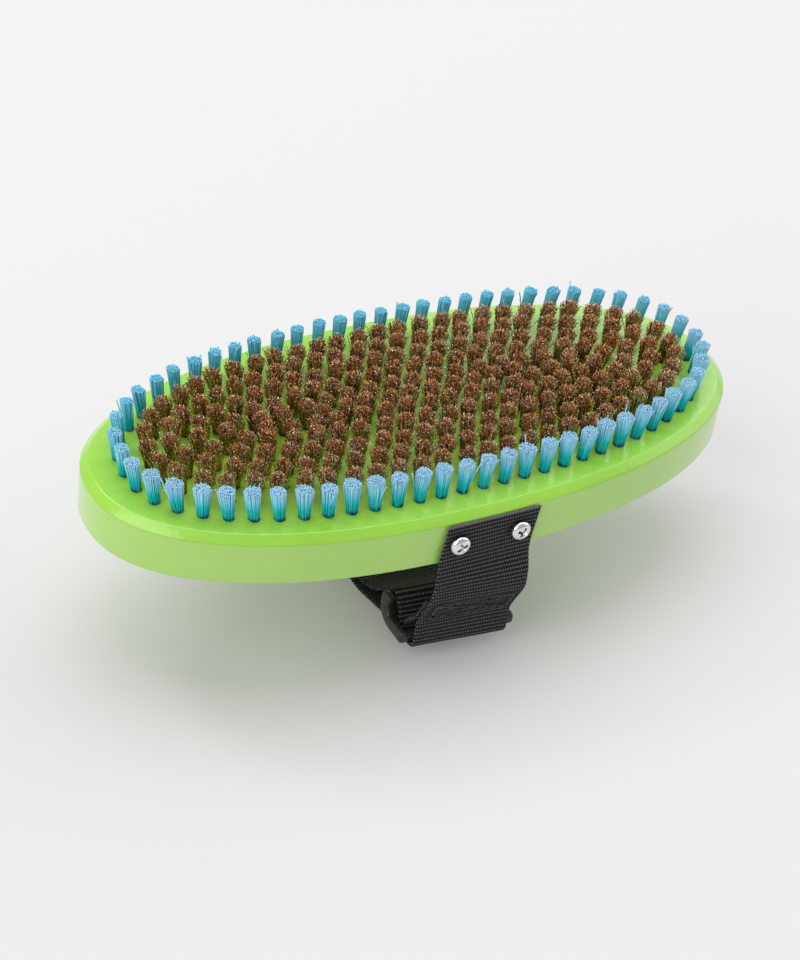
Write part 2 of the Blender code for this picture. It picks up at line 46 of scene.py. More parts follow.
# Board
BOARD_POWER = 2.2
BOARD_STEPS = 288
OVAL_STEPS = 11520
CHAMFER_INSET = 2.6 * MM
CHAMFER_DEPTH = 2.3 * MM
EDGE_ROUNDING = 0.8 * MM
HOLE_DEPTH = 5.0 * MM
HOLE_SIDES = 16
BRONZE_HOLE_RADIUS = 1.75 * MM
NYLON_HOLE_RADIUS = 1.75 * MM

# Bronze tufts: rings one inside the other, slimmer and more pointed inwards, round a straight row.
# Each ring is set on by a further share of the pitch, which staggers the tufts
BRONZE_RINGS = 5
BRONZE_ARCS = ("right", "far", "left", "near")
FIELD_HALF_LENGTH = 89.8 * MM
FIELD_HALF_WIDTH = 32.5 * MM
FIELD_POWER = 2.33
INSET_LENGTH = 7.0 * MM
INSET_GROWTH = 0.35 * MM
INSET_WIDTH = 6.6 * MM
POWER_DROP = 0.125
TUFT_PITCH = 7.4 * MM
BRONZE_SET_ON = -0.25
BRONZE_STAGGER = 0.548
MIDDLE_ROW_REACH = 34.5 * MM
BRONZE_HEIGHT = 10.6 * MM
BRONZE_FAN = math.radians(8.5)
BRONZE_WIRES = 92
BRONZE_WIRE_RADIUS = 0.13 * MM
BRONZE_ROOT_RADIUS = 1.5 * MM
BRONZE_TIP_RADIUS = 3.15 * MM
CRIMP_STEPS = 14
CRIMP = 0.17 * MM

# Nylon tufts, one ring near the edge
RING_CENTRE_X = 0.3 * MM
RING_HALF_LENGTH = 98.4 * MM
RING_HALF_WIDTH = 39.8 * MM
RING_POWER = 2.38
RING_TUFTS = 62
RING_ARCS = 8
# Sine and cosine of one and of two turns round the ring, in shares of the pitch
RING_START = 0.19
RING_DRIFT = ((-0.16, -0.02), (-0.11, -0.04))
NYLON_HEIGHT = 10.8 * MM
NYLON_FAN = math.radians(9.0)
NYLON_FILAMENTS = 124
NYLON_FILAMENT_RADIUS = 0.2 * MM
NYLON_ROOT_RADIUS = 1.45 * MM
NYLON_TIP_NEAR = 2.55 * MM
NYLON_TIP_FAR = 2.05 * MM
NYLON_STEPS = 6

STRAND_ROOT_DEPTH = 2.5 * MM
DISC_DISORDER = 0.04
STRAY_SPREAD = 0.5

# Webbing
STRAP_X = -2.2 * MM
STRAP_WIDTH = 31.8 * MM
STRAP_THICKNESS = 1.4 * MM
STRAP_TOP = 59.9 * MM
FAR_STRAP_TOP = 58.4 * MM
WALL_Y = 51.8 * MM
HINGE_Z = 43.9 * MM
RIB_PITCH = 1.52 * MM
RIB_STEPS = 8
RIB_HEIGHT = 0.34 * MM
KNOT_PITCH = 0.86 * MM
WAVE_HEIGHT = 0.10 * MM
SELVEDGE_WIDTH = 1.2 * MM
SELVEDGE_PULL = 0.26 * MM
SELVEDGE_SCALLOP = 0.34 * MM
SCREW_DENT_DEPTH = 0.22 * MM
SCREW_DENT_REACH = 4.0 * MM
STITCH_DENT_DEPTH = 0.36 * MM
STITCH_DENT_REACH = 1.0 * MM
WEAVE_MAP = "weave"

# Points (y, z) that the webbing passes: the bow below each wall and the straight stretches
NEAR_BOW = (-52.9 * MM, 37.0 * MM)
LOOP_SLOPE = ((-52.3 * MM, 30.2 * MM), (-46.4 * MM, 17.2 * MM))
FOLD_HEEL_Z = 12.2 * MM
FOLD_SLOPE = ((-44.8 * MM, 17.9 * MM), (-49.8 * MM, 28.95 * MM))
FAR_BOW = (52.9 * MM, 37.0 * MM)
FAR_SLOPE = ((52.3 * MM, 27.0 * MM), (41.5 * MM, 0.7 * MM))
RUN_LIFT_Y = -9.0 * MM
RUN_END = (-31.0 * MM, 5.8 * MM)
WRAP_FOOT_Z = 6.96 * MM
WRAP_HEAD_Z = 9.57 * MM
TAIL_CREST = (-32.64 * MM, 18.96 * MM)
TAIL_FOOT = (-15.0 * MM, 5.3 * MM)
TAIL_END = (15.0 * MM, 2.6 * MM)

# The lower strap hangs a little askew: below the twist and up to the near end of the run, everything
# is turned about the vertical, and the run and tail straighten out along their length
SKEW = math.tan(math.radians(5.5))
TWIST_TOP = 43.0 * MM
TWIST_FOOT = 31.0 * MM
SKEW_FULL_Y = -28.0 * MM
SKEW_NONE_Y = 30.0 * MM
# The screwed end of the near webbing leans along the board above this height
LEAN_ABOVE = 48.0 * MM
LEAN_SLOPE = 0.135

# The box of stitching on the near webbing's straight stretch
STITCH_TOP = 0.22
STITCH_FOOT = 0.84
STITCH_BORDER = 3.0 * MM
STITCH_LENGTH = 2.3 * MM
STITCH_GAP = 0.45 * MM
THREAD_RADIUS = 0.24 * MM
THREAD_SINK = 0.14 * MM
FOLD_DEPTH = 1.76 * MM
LAYER_REACH = 1.2 * MM
FOLD_REACH = 3.2 * MM

# The strap's far lower corner
CORNER_HINGE = (44.6 * MM, 8.3 * MM)
SEAM_ABOVE_CORNER = 9.0 * MM

# Ladder-lock buckle: bar centres and the rails' centre line, in the YZ plane
LOOP_BAR = (-42.8 * MM, 9.0 * MM)
WRAP_BAR = (-34.6 * MM, 9.0 * MM)
LIP_BAR = (-31.8 * MM, 15.4 * MM)
LOOP_BAR_RADIUS = 1.6 * MM
WRAP_BAR_RADIUS = 1.5 * MM
LIP_BAR_RADIUS = 1.3 * MM
LOOP_CLEARANCE = 1.1 * MM
WRAP_CLEARANCE = 0.3 * MM
RAIL_HEIGHT = 4.4 * MM
RAIL_THICKNESS = 2.6 * MM
RAIL_ROUNDING = 0.9 * MM
RAIL_END = 1.6 * MM
RAIL_BEND = 4.5 * MM
RAIL_X = 18.0 * MM
RAIL_START = (-44.9 * MM, 9.1 * MM)
RAIL_HEEL = (-31.0 * MM, 8.7 * MM)
RAIL_TOP = (-32.3 * MM, 18.0 * MM)

# Screws
SCREW_SPACING = 20.8 * MM
SCREW_BELOW_TOP = 8.8 * MM
SCREW_SEAT_Y = 52.8 * MM
SCREW_HEAD_RADIUS = 3.3 * MM
SCREW_HEAD_HEIGHT = 2.2 * MM
SCREW_SHANK_RADIUS = 1.6 * MM
SCREW_LENGTH = 16.0 * MM
SCREW_POINT = 4.0 * MM
AXIS_GAP = 0.02 * MM
SCREW_EDGE = 0.2 * MM
SCREW_SPINS = (0.5, 1.1)
# The cross recess: half-length, half-width and height above the seat, at its floor and its mouth
RECESS_FLOOR = (1.0 * MM, 0.24 * MM, 0.1 * MM)
RECESS_MOUTH = (2.1 * MM, 0.52 * MM, SCREW_HEAD_HEIGHT + 0.3 * MM)

# Camera, on the line through a point in the strap's middle
CAMERA_AIM = Vector((-9.43, -10.38, 45.0)) * MM
CAMERA_DISTANCE = 740.25 * MM
CAMERA_AZIMUTH = math.radians(-32.855)
CAMERA_ELEVATION = math.radians(38.05)
CAMERA_ROLL = math.radians(8.42)
CAMERA_LENS = 88.93


# ------------------------------------------------------------------ shapes

def link(name, mesh, finish, smooth_angle=None):
    """A piece with its material and its finish slot, and smooth shading up to an angle."""
    piece = bpy.data.objects.new(name, mesh)
    bpy.context.scene.collection.objects.link(piece)
    mesh.materials.clear()
    mesh.materials.append(finish)
    if smooth_angle is not None:
        mesh.shade_smooth()
        mesh.set_sharp_from_angle(angle=math.radians(smooth_angle))
    return piece


def mesh_of(name, points, faces):
    mesh = bpy.data.meshes.new(name)
    mesh.from_pydata(points, [], faces)
    mesh.validate()
    return mesh


def point_value(mesh, name, values):
    attribute = mesh.attributes.new(name, "FLOAT", "POINT")
    attribute.data.foreach_set("value", np.asarray(values, np.float32).ravel())


def oval_line(half_length, half_width, power):
    """A fine superellipse, anticlockwise from its -Y side: x, y and the distance run along it."""
    angle = np.linspace(-math.pi / 2, 1.5 * math.pi, OVAL_STEPS + 1)
    reach = np.abs(np.cos(angle) / half_length) ** power + np.abs(np.sin(angle) / half_width) ** power
    reach = reach ** (-1.0 / power)
    x, y = reach * np.cos(angle), reach * np.sin(angle)
    run = np.concatenate([[0.0], np.cumsum(np.hypot(np.diff(x), np.diff(y)))])
    return x, y, run


def oval(half_length, half_width, power, count, centre_x=0.0, set_on=0.0):
    """Points along a superellipse, anticlockwise from its -Y side, evenly spaced or set on by a share
    of the spacing."""
    x, y, run = oval_line(half_length, half_width, power)
    stops = (np.arange(count) + set_on) * run[-1] / count % run[-1]
    return np.column_stack([centre_x + np.interp(stops, run, x), np.interp(stops, run, y)])


def clamp(values):
    return np.clip(values, 0.0, 1.0)


def hang_askew(points, share=1.0):
    """Turns points (..., 3) of the lower strap about the vertical, by a share at each point."""
    points[..., 1] -= (points[..., 0] - STRAP_X) * SKEW * share


def fillet(corners, steps=24):
    """A path through corners (u, v, radius) with each corner rounded by an arc."""
    points = [Vector(corners[0][:2])]
    for before, corner, after in zip(corners, corners[1:], corners[2:]):
        here = Vector(corner[:2])
        back = (Vector(before[:2]) - here).normalized()
        ahead = (Vector(after[:2]) - here).normalized()
        half = back.angle(ahead) / 2
        reach = corner[2] / math.tan(half)
        centre = here + (back + ahead).normalized() * corner[2] / math.sin(half)
        first = here + back * reach - centre
        turn = first.angle_signed(here + ahead * reach - centre)
        for i in range(steps + 1):
            points.append(centre + Matrix.Rotation(-turn * i / steps, 2) @ first)
    points.append(Vector(corners[-1][:2]))
    return np.array(points)


def resample(path, step):
    """The path with evenly spaced points and smoothed directions: points, directions, distances."""
    run = np.concatenate([[0.0], np.cumsum(np.hypot(*np.diff(path, axis=0).T))])
    stops = np.linspace(0.0, run[-1], max(2, int(round(run[-1] / step))) + 1)
    points = np.column_stack([np.interp(stops, run, path[:, 0]), np.interp(stops, run, path[:, 1])])
    along = np.gradient(points, axis=0)
    window = np.ones(5) / 5
    for column in range(2):
        padded = np.pad(along[:, column], 2, mode="edge")
        along[:, column] = np.convolve(padded, window, mode="valid")
    along /= np.linalg.norm(along, axis=1, keepdims=True)
    return points, along, stops


def rings_mesh(name, rings):
    """A closed mesh through rings of points, (rings, points, 3), capped at both ends."""
    count, sides = rings.shape[:2]
    index = np.arange(count * sides).reshape(count, sides)
    beside = np.roll(index, -1, axis=1)
    walls = np.stack([index[:-1], beside[:-1], beside[1:], index[1:]], axis=-1).reshape(-1, 4)
    faces = walls.tolist() + [index[0][::-1].tolist(), index[-1].tolist()]
    return mesh_of(name, rings.reshape(-1, 3).tolist(), faces)


def tubes(name, lines, radius, sides, across):
    """Closed round strands along many lines at once; lines is (strands, points, 3)."""
    count, steps = lines.shape[:2]
    along = np.gradient(lines, axis=1)
    along /= np.linalg.norm(along, axis=2, keepdims=True)
    first = np.cross(along, across)
    first /= np.linalg.norm(first, axis=2, keepdims=True)
    second = np.cross(along, first)
    turn = 2 * math.pi * np.arange(sides) / sides
    ring = first[:, :, None] * np.cos(turn)[:, None] + second[:, :, None] * np.sin(turn)[:, None]
    points = lines[:, :, None] + ring * radius[..., None, None]
    index = np.arange(count * steps * sides).reshape(count, steps, sides)
    beside = np.roll(index, -1, axis=2)
    low, low_next = index[:, :-1], beside[:, :-1]
    high, high_next = index[:, 1:], beside[:, 1:]
    if sides == 3:
        walls = [np.stack([low, low_next, high_next], axis=-1), np.stack([low, high_next, high], axis=-1)]
    else:
        walls = [np.stack([low, low_next, high_next, high], axis=-1)]
    faces = [wall.reshape(-1, wall.shape[-1]) for wall in walls]
    if sides <= 4:
        faces += [index[:, 0, ::-1], index[:, -1]]
        faces = np.concatenate(faces)
    else:
        faces = faces[0].tolist() + index[:, 0, ::-1].tolist() + index[:, -1].tolist()
    mesh = mesh_of(name, points.reshape(-1, 3), faces)
    mesh.shade_smooth()
    mesh.set_sharp_from_angle(angle=math.radians(75))
    return mesh


def cut(piece, tool_mesh, operation="DIFFERENCE"):
    """Applies a Boolean with a tool mesh to the piece's own mesh."""
    tool = bpy.data.objects.new("tool", tool_mesh)
    bpy.context.scene.collection.objects.link(tool)
    modifier = piece.modifiers.new("cut", "BOOLEAN")
    modifier.operation = operation
    modifier.solver = "EXACT"
    modifier.object = tool
    bpy.context.view_layer.update()
    evaluated = piece.evaluated_get(bpy.context.evaluated_depsgraph_get())
    old, piece.data = piece.data, bpy.data.meshes.new_from_object(evaluated)
    piece.data.name = old.name
    piece.modifiers.clear()
    bpy.data.objects.remove(tool)
    bpy.data.meshes.remove(tool_mesh)
    bpy.data.meshes.remove(old)


# ------------------------------------------------------------------ material nodes

def principled(name, constants):
    """A new material, its node tree and its shader, with the constant sockets set directly."""
    made = bpy.data.materials.new(name)
    made.use_nodes = True
    tree = made.node_tree
    shader = tree.nodes["Principled BSDF"]
    for socket, value in constants.items():
        shader.inputs[socket].default_value = value
    return made, tree, shader


def node(tree, kind, inputs=(), **settings):
    """A node with its settings; inputs maps a socket's name or number to a value or to an output."""
    made = tree.nodes.new("ShaderNode" + kind)
    for key, value in settings.items():
        setattr(made, key, value)
    for key, value in dict(inputs).items():
        if isinstance(value, bpy.types.NodeSocket):
            tree.links.new(value, made.inputs[key])
        else:
            made.inputs[key].default_value = value
    return made


def here(tree, scale=(1, 1, 1)):
    """The point on the object, stretched by a scale for each axis."""
    place = node(tree, "TexCoord").outputs["Object"]
    return node(tree, "Mapping", {"Vector": place, "Scale": scale}).outputs["Vector"]


def noise(tree, vector, scale, detail=3.0, roughness=0.5):
    inputs = {"Vector": vector, "Scale": scale, "Detail": detail, "Roughness": roughness}
    return node(tree, "TexNoise", inputs).outputs["Fac"]


def maths(tree, operation, first, second=0.0):
    return node(tree, "Math", {0: first, 1: second}, operation=operation).outputs[0]


def spread(tree, value, low, high, out_low, out_high):
    """The value mapped from one range to another, clamped."""
    inputs = {0: value, 1: low, 2: high, 3: out_low, 4: out_high}
    return node(tree, "MapRange", inputs).outputs[0]


def ramp(tree, value, stops):
    made = node(tree, "ValToRGB", {"Fac": value})
    elements = made.color_ramp.elements
    while len(elements) < len(stops):
        elements.new(0.5)
    for element, (place, colour) in zip(elements, stops):
        element.position = place
        element.color = (*colour, 1.0)
    return made.outputs["Color"]


def mix(tree, share, first, second, blend="MIX"):
    made = node(tree, "Mix", {0: share}, data_type="RGBA", blend_type=blend)
    for number, value in ((6, first), (7, second)):
        if isinstance(value, bpy.types.NodeSocket):
            tree.links.new(value, made.inputs[number])
        else:
            made.inputs[number].default_value = (*value, 1.0)
    return made.outputs[2]


def bump(tree, height, distance, strength=1.0, below=None):
    inputs = {"Height": height, "Distance": distance, "Strength": strength}
    if below is not None:
        inputs["Normal"] = below
    return node(tree, "Bump", inputs).outputs["Normal"]


def drive(tree, shader, **outputs):
    """Links outputs to shader sockets named in lower case, such as base_color."""
    for name, output in outputs.items():
        tree.links.new(output, shader.inputs[name.replace("_", " ").title()])


# ------------------------------------------------------------------ materials

def lacquer_finish():
    """Bright green lacquer on wood: soft gloss, faint grain, painted highlight specks, a paler painted
    sheen on the side walls and a rippled coat.
    """
    made, tree, shader = principled(
        "green_lacquer", {"Coat Weight": 0.9, "Coat Roughness": 0.14, "Specular IOR Level": 0.3}
    )
    cloud = noise(tree, here(tree), 22.0, 4.0)
    colour = ramp(tree, cloud, [(0.3, (0.255, 0.555, 0.034)), (0.7, (0.310, 0.610, 0.056))])
    height = node(tree, "SeparateXYZ", {0: here(tree)}).outputs[2]
    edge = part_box("brush_board")[1].z - CHAMFER_DEPTH
    # painted reflection: the side walls below the chamfer are mixed towards a paler green, standing in for
    # the light they reflect
    side = spread(tree, height, edge - 0.6 * MM, edge, 0.24, 0.0)
    colour = mix(tree, side, colour, (0.72, 0.86, 0.42))
    grain = noise(tree, here(tree, (12, 420, 420)), 1.0, 5.0, 0.6)
    colour = mix(tree, spread(tree, grain, 0.45, 0.75, 0.0, 0.16), colour, (0.42, 0.72, 0.16))
    # painted highlight: small pale green specks that stand in for glints off the rippled coat
    painted_sparkle = noise(tree, here(tree), 1500.0, 2.0)
    colour = mix(tree, spread(tree, painted_sparkle, 0.70, 0.78, 0.0, 0.35), colour, (0.75, 0.90, 0.55))
    ripple = noise(tree, here(tree), 620.0, 3.0)
    normal = bump(tree, grain, 0.06 * MM, 0.35)
    normal = bump(tree, ripple, 0.13 * MM, 0.7, normal)
    smudge = spread(tree, noise(tree, here(tree), 60.0, 5.0), 0.3, 0.7, 0.26, 0.42)
    drive(tree, shader, base_color=colour, roughness=smudge, normal=normal, coat_normal=normal)
    return made


def bronze_finish():
    """Crimped bronze wire: red-brown to gold, with painted shade patches, painted glints on the upper
    bends, and a painted olive reflection and shade towards the root.
    """
    made, tree, shader = principled("bronze_wire", {"Metallic": 0.8})
    strand = node(tree, "Attribute", attribute_name="strand").outputs["Fac"]
    rise = node(tree, "Attribute", attribute_name="rise").outputs["Fac"]
    colour = ramp(
        tree,
        strand,
        [
            (0.0, (0.300, 0.090, 0.020)),
            (0.30, (0.800, 0.300, 0.080)),
            (0.60, (0.980, 0.480, 0.150)),
            (0.80, (1.000, 0.720, 0.320)),
            (1.0, (1.000, 0.950, 0.760)),
        ],
    )
    # painted shade: near-black patches stand in for the shade between the wires
    painted_wire_shade = noise(tree, here(tree), 1150.0, 2.0)
    colour = mix(tree, spread(tree, painted_wire_shade, 0.38, 0.50, 0.85, 0.0), colour, (0.050, 0.016, 0.004))
    # painted highlight: cream spots on the upper wires stand in for glints of light on their bends
    painted_glint_noise = noise(tree, here(tree), 1400.0, 1.0)
    bright = spread(tree, painted_glint_noise, 0.55, 0.60, 0.0, 1.0)
    bright = maths(tree, "MULTIPLY", bright, spread(tree, rise, 0.7, 0.95, 0.1, 1.0))
    colour = mix(tree, bright, colour, (1.000, 0.930, 0.800))
    # painted reflection and shade: the lower wires are mixed towards a dull olive, standing in for green
    # light thrown up by the board and for shade near the root
    root = mix(tree, 0.55, colour, (0.260, 0.220, 0.012))
    colour = mix(tree, spread(tree, rise, 0.45, 0.9, 0.0, 1.0), root, colour)
    roughness = spread(tree, noise(tree, here(tree), 2400.0, 2.0), 0.3, 0.7, 0.15, 0.34)
    normal = bump(tree, noise(tree, here(tree), 6000.0, 2.0), 0.02 * MM, 0.4)
    drive(tree, shader, base_color=colour, roughness=roughness, normal=normal)
    return made


def nylon_finish():
    """Dyed nylon filament: teal below, pale blue above and grey at the cut ends, with painted shade in
    navy at the hole.
    """
    made, tree, shader = principled(
        "blue_nylon", {"Subsurface Weight": 0.4, "Subsurface Scale": 1.2 * MM, "Specular IOR Level": 0.15}
    )
    strand = node(tree, "Attribute", attribute_name="strand").outputs["Fac"]
    rise = node(tree, "Attribute", attribute_name="rise").outputs["Fac"]
    shifted = maths(tree, "ADD", rise, spread(tree, strand, 0.0, 1.0, -0.06, 0.06))
    # painted shade: the navy and dark teal at the foot of the ramp stand in for the shade where the
    # filaments enter the hole
    colour = ramp(
        tree,
        shifted,
        [
            (0.20, (0.002, 0.050, 0.200)),
            (0.24, (0.001, 0.220, 0.360)),
            (0.30, (0.001, 0.460, 0.500)),
            (0.50, (0.003, 0.540, 0.620)),
            (0.66, (0.130, 0.660, 0.840)),
            (0.90, (0.380, 0.740, 0.930)),
            (1.0, (0.300, 0.570, 0.750)),
        ],
    )
    back = node(tree, "SeparateXYZ", {0: here(tree)}).outputs[1]
    back = spread(tree, back, -12 * MM, 28 * MM, 0.0, 0.6)
    colour = mix(tree, back, colour, (0.010, 0.500, 0.680))
    streak = noise(tree, here(tree, (2600, 2600, 160)), 1.0, 2.0)
    colour = mix(tree, spread(tree, streak, 0.55, 0.8, 0.0, 0.25), colour, (0.55, 0.85, 0.95))
    roughness = spread(tree, streak, 0.3, 0.7, 0.35, 0.55)
    normal = bump(tree, streak, 0.03 * MM, 0.4)
    drive(tree, shader, base_color=colour, roughness=roughness, normal=normal)
    return made


def webbing_finish():
    """Black woven webbing: bold ribs of beaded yarn with fine fuzz, painted lighter on the crests as
    highlight and near black in the grooves as shade.
    """
    made, tree, shader = principled("black_webbing", {"Sheen Weight": 0.05, "Specular IOR Level": 0.3})
    weave = node(tree, "UVMap", uv_map=WEAVE_MAP).outputs["UV"]
    sway = noise(tree, here(tree), 260.0, 2.0)
    parts = node(tree, "SeparateXYZ", {0: weave}).outputs
    across = maths(tree, "MULTIPLY", parts[0], 2 * math.pi / KNOT_PITCH)
    across = maths(tree, "SINE", maths(tree, "ADD", across, maths(tree, "MULTIPLY", sway, 5.0)))
    rib = maths(tree, "COSINE", maths(tree, "MULTIPLY", parts[1], math.pi / RIB_PITCH))
    ridge = maths(tree, "MULTIPLY", rib, rib)
    fuzz = noise(tree, here(tree), 2200.0, 5.0, 0.7)
    knot = maths(tree, "MULTIPLY", maths(tree, "MULTIPLY", across, rib), 0.28)
    height = maths(tree, "ADD", maths(tree, "ADD", knot, ridge), fuzz)
    # painted highlight and shade: the colour follows the weave's height, lighter on the rib crests and
    # near black in the grooves
    light = spread(tree, height, 0.65, 1.65, 0.0, 1.0)
    stops = [(0.0, (0.000, 0.000, 0.000)), (0.55, (0.010, 0.009, 0.010)), (1.0, (0.160, 0.150, 0.155))]
    colour = ramp(tree, light, stops)
    worn = noise(tree, here(tree), 180.0, 4.0)
    colour = mix(tree, spread(tree, worn, 0.5, 0.75, 0.0, 0.2), colour, (0.026, 0.025, 0.026))
    roughness = spread(tree, fuzz, 0.3, 0.7, 0.62, 0.92)
    normal = bump(tree, height, 0.26 * MM, 0.9)
    drive(tree, shader, base_color=colour, roughness=roughness, normal=normal)
    return made


def thread_finish():
    """Black sewing thread with the twist of its plies."""
    made, tree, shader = principled("black_thread", {"Sheen Weight": 0.15})
    twist = noise(tree, here(tree), 3000.0, 2.0)
    colour = ramp(tree, twist, [(0.35, (0.012, 0.012, 0.013)), (0.7, (0.050, 0.050, 0.054))])
    roughness = spread(tree, twist, 0.3, 0.7, 0.4, 0.6)
    drive(tree, shader, base_color=colour, roughness=roughness, normal=bump(tree, twist, 0.05 * MM, 0.6))
    return made


def moulding_finish():
    """Black moulded plastic: satin, with fine spark texture and a few rubbed patches."""
    made, tree, shader = principled("black_moulding", {"Specular IOR Level": 0.55})
    rub = noise(tree, here(tree), 140.0, 5.0)
    colour = ramp(tree, rub, [(0.35, (0.016, 0.016, 0.018)), (0.75, (0.034, 0.034, 0.037))])
    spark = noise(tree, here(tree), 3200.0, 2.0)
    roughness = spread(tree, rub, 0.3, 0.7, 0.30, 0.46)
    drive(tree, shader, base_color=colour, roughness=roughness, normal=bump(tree, spark, 0.03 * MM, 0.5))
    return made


def chrome_finish():
    """Plated steel: bright, with hairline scratches and faint haze."""
    made, tree, shader = principled("chrome_plate", {"Metallic": 1.0})
    haze = noise(tree, here(tree), 500.0, 4.0)
    colour = ramp(tree, haze, [(0.3, (0.68, 0.69, 0.70)), (0.7, (0.84, 0.84, 0.85))])
    scratch = noise(tree, here(tree, (9000, 900, 700)), 1.0, 2.0)
    roughness = spread(tree, haze, 0.3, 0.7, 0.07, 0.2)
    drive(tree, shader, base_color=colour, roughness=roughness, normal=bump(tree, scratch, 0.01 * MM, 0.3))
    return made


# ------------------------------------------------------------------ board

def bronze_rings():
    """Root positions of the bronze tufts in each ring, the outermost first."""
    rings = []
    for k in range(BRONZE_RINGS):
        size = (
            FIELD_HALF_LENGTH - INSET_LENGTH * k - INSET_GROWTH * k * k,
            FIELD_HALF_WIDTH - INSET_WIDTH * k,
            FIELD_POWER - POWER_DROP * k,
        )
        count = 2 * round(oval_line(*size)[2][-1] / TUFT_PITCH / 2)
        rings.append(oval(*size, count, RING_CENTRE_X, BRONZE_SET_ON + BRONZE_STAGGER * k))
    return rings


def middle_row():
    """Root positions of the bronze tufts in the straight row inside the rings."""
    set_on = (BRONZE_SET_ON + BRONZE_STAGGER * BRONZE_RINGS) % 1.0
    half = int(MIDDLE_ROW_REACH / TUFT_PITCH) + 1
    places = [RING_CENTRE_X + (i + set_on) * TUFT_PITCH for i in range(-half, half + 1)]
    return np.array([(x, 0.0) for x in places if abs(x) <= MIDDLE_ROW_REACH])


def nylon_ring():
    """Root positions of the nylon tufts, anticlockwise from the -Y side."""
    turn = 2 * math.pi * np.arange(RING_TUFTS) / RING_TUFTS
    set_on = RING_START
    for times, (sine, cosine) in enumerate(RING_DRIFT, 1):
        set_on = set_on + sine * np.sin(times * turn) + cosine * np.cos(times * turn)
    return oval(RING_HALF_LENGTH, RING_HALF_WIDTH, RING_POWER, RING_TUFTS, RING_CENTRE_X, set_on)


def ring_arcs(ring, arcs, offset=0.0):
    """A ring's tufts, split into arcs."""
    edges = [round(len(ring) * (k + offset) / arcs) for k in range(arcs + 1)]
    return [ring[np.arange(first, last) % len(ring)] for first, last in zip(edges, edges[1:])]


def drills(centres, radius, low, high):
    """Upright cylinders for the blind holes, as one mesh of separate solids."""
    lines = np.empty((len(centres), 2, 3))
    lines[:, :, :2] = centres[:, None]
    lines[:, 0, 2], lines[:, 1, 2] = low, high
    return tubes("drills", lines, np.full((len(centres), 2), radius), HOLE_SIDES, (1.0, 0.0, 0.0))


def make_board(finish, bronze, nylon):
    """The oval board: rounded lower edge, chamfered upper edge and a drilled hole for each tuft."""
    low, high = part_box("brush_board")
    half_length, half_width = (high.x - low.x) / 2, (high.y - low.y) / 2
    profile = fillet(
        [
            (2.5 * MM, low.z),
            (0.0, low.z, EDGE_ROUNDING),
            (0.0, high.z - CHAMFER_DEPTH, EDGE_ROUNDING),
            (CHAMFER_INSET, high.z, EDGE_ROUNDING),
            (CHAMFER_INSET + 1.6 * MM, high.z),
        ],
        5,
    )
    rings = []
    for inset, z in profile:
        outline = oval(half_length - inset, half_width - inset, BOARD_POWER, BOARD_STEPS)
        rings.append(np.column_stack([outline, np.full(BOARD_STEPS, z)]))
    board = link("board_lacquered", rings_mesh("board_lacquered", np.array(rings)), finish)
    floor, above = high.z - HOLE_DEPTH, high.z + 1 * MM
    cut(board, drills(bronze, BRONZE_HOLE_RADIUS, floor, above))
    cut(board, drills(nylon, NYLON_HOLE_RADIUS, floor, above))
    board.data.shade_smooth()
    board.data.set_sharp_from_angle(angle=math.radians(30))
    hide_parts("brush_board")
    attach(board, "root")


# ------------------------------------------------------------------ tufts

def disc(count, random):
    """Points spread evenly over a unit disc in a sunflower pattern, with a little disorder."""
    k = np.arange(count) + 0.5
    radius = np.sqrt(k / count)
    angle = k * math.pi * (3 - math.sqrt(5)) + random.uniform(0, 6.28)
    places = np.column_stack([radius * np.cos(angle), radius * np.sin(angle)])
    return places + random.normal(0, DISC_DISORDER, places.shape)


def strand_lines(centre, lean, form, random):
    """Centre lines of one tuft's strands, flaring from the hole towards a domed tip."""
    places = disc(form["count"], random)
    middle = (places ** 2).sum(axis=1)
    rise = np.linspace(0.0, 1.0, form["steps"] + 1)
    length = form["height"] * (1 + random.normal(0, form["unevenness"], form["count"]))
    length *= 1 - form["dome"] * middle
    drift = random.normal(0, form["drift"], (form["count"], 2))
    wild = random.random(form["count"]) < form["stray"]
    drift[wild] += random.normal(0, STRAY_SPREAD, (wild.sum(), 2))
    tip = form["tip"] * random.uniform(0.93, 1.07)
    radius = form["root"] + (tip - form["root"]) * rise[None, :, None] ** form["flare"]
    lines = np.empty((form["count"], len(rise), 3))
    lines[:, :, :2] = centre + places[:, None] * radius
    lines[:, :, :2] += drift[:, None] * tip * rise[None, :, None] ** 2
    above = rise * (length + STRAND_ROOT_DEPTH)[:, None] - STRAND_ROOT_DEPTH
    lines[:, :, 0] += lean[0] * above
    lines[:, :, 1] += lean[1] * above
    lines[:, :, 2] = form["top"] + above
    return lines


def tuft_group(node_name, kind, groups, radius, sides, random, finish):
    """Joins the strands of several tufts into one piece that rides on the board."""
    name = f"{node_name}_{kind}"
    lines = np.concatenate(groups)
    thickness = radius * random.uniform(0.85, 1.15, (len(lines), 1)) * np.ones(lines.shape[1])
    mesh = tubes(name, lines, thickness, sides, (1.0, 0.0, 0.0))
    shape = (*lines.shape[:2], sides)
    point_value(mesh, "strand", np.broadcast_to(random.random(len(lines))[:, None, None], shape))
    rise = np.linspace(0.0, 1.0, lines.shape[1])
    point_value(mesh, "rise", np.broadcast_to(rise[None, :, None], shape))
    piece = link(name, mesh, finish)
    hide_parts(node_name)
    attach(piece, "root")


